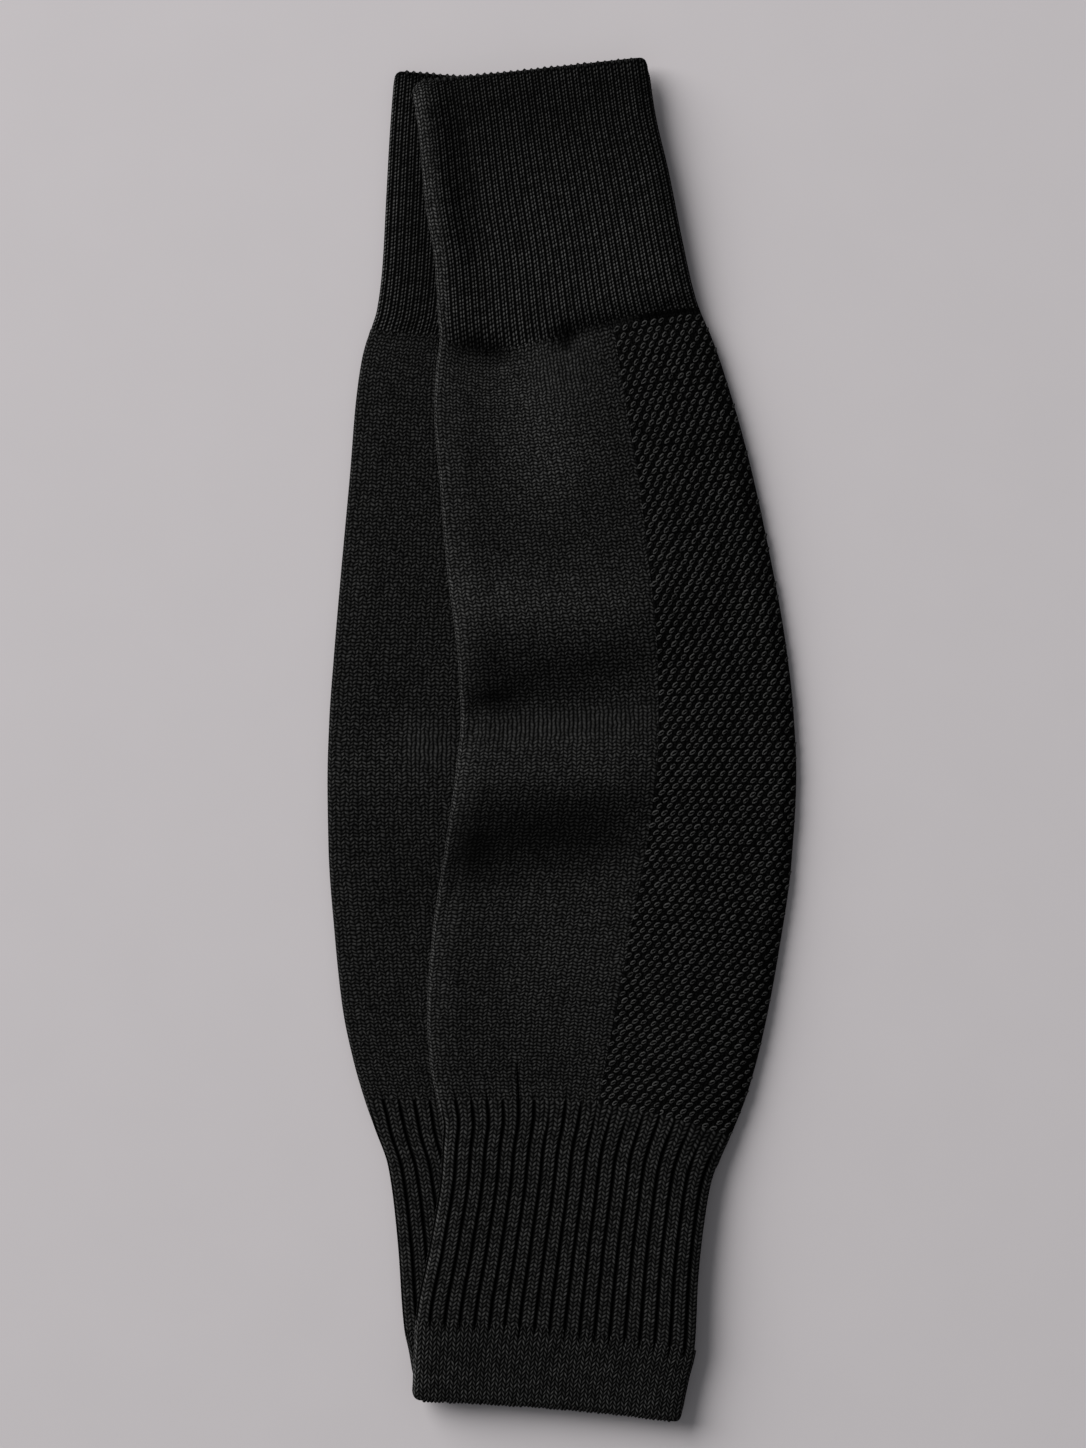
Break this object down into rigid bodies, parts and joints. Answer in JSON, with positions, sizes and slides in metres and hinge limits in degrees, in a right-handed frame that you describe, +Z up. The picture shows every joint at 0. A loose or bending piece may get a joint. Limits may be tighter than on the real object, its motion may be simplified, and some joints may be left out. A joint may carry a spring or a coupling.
{
  "type": "pair of football sock sleeves",
  "caption": "Two footless knitted football sock sleeves laid flat, one over the other, with ribbed cuffs, a honeycomb side panel and a plain hem band.",
  "frame": {"origin": "middle of the pair's plan, on the surface that it lies on", "axes": "+Y towards the top cuffs, +X towards the upper sleeve's honeycomb panel, +Z up off the surface"},
  "size_m": [0.1316, 0.3812, 0.0127],
  "materials": {
    "cuff_rib": "matt black fine rib knit",
    "calf_knit": "matt black plain knit",
    "honeycomb_knit": "matt black raised honeycomb knit",
    "ankle_rib": "matt black wide rib knit",
    "hem_knit": "matt black plain knit band"
  },
  "bodies": {
    "root": {"upper_cuff": "cuff_rib", "upper_calf": "calf_knit", "upper_panel": "honeycomb_knit", "upper_ankle": "ankle_rib", "upper_hem": "hem_knit", "lower_cuff": "cuff_rib", "lower_calf": "calf_knit", "lower_panel": "honeycomb_knit", "lower_ankle": "ankle_rib", "lower_hem": "hem_knit"}
  },
  "joints": []
}
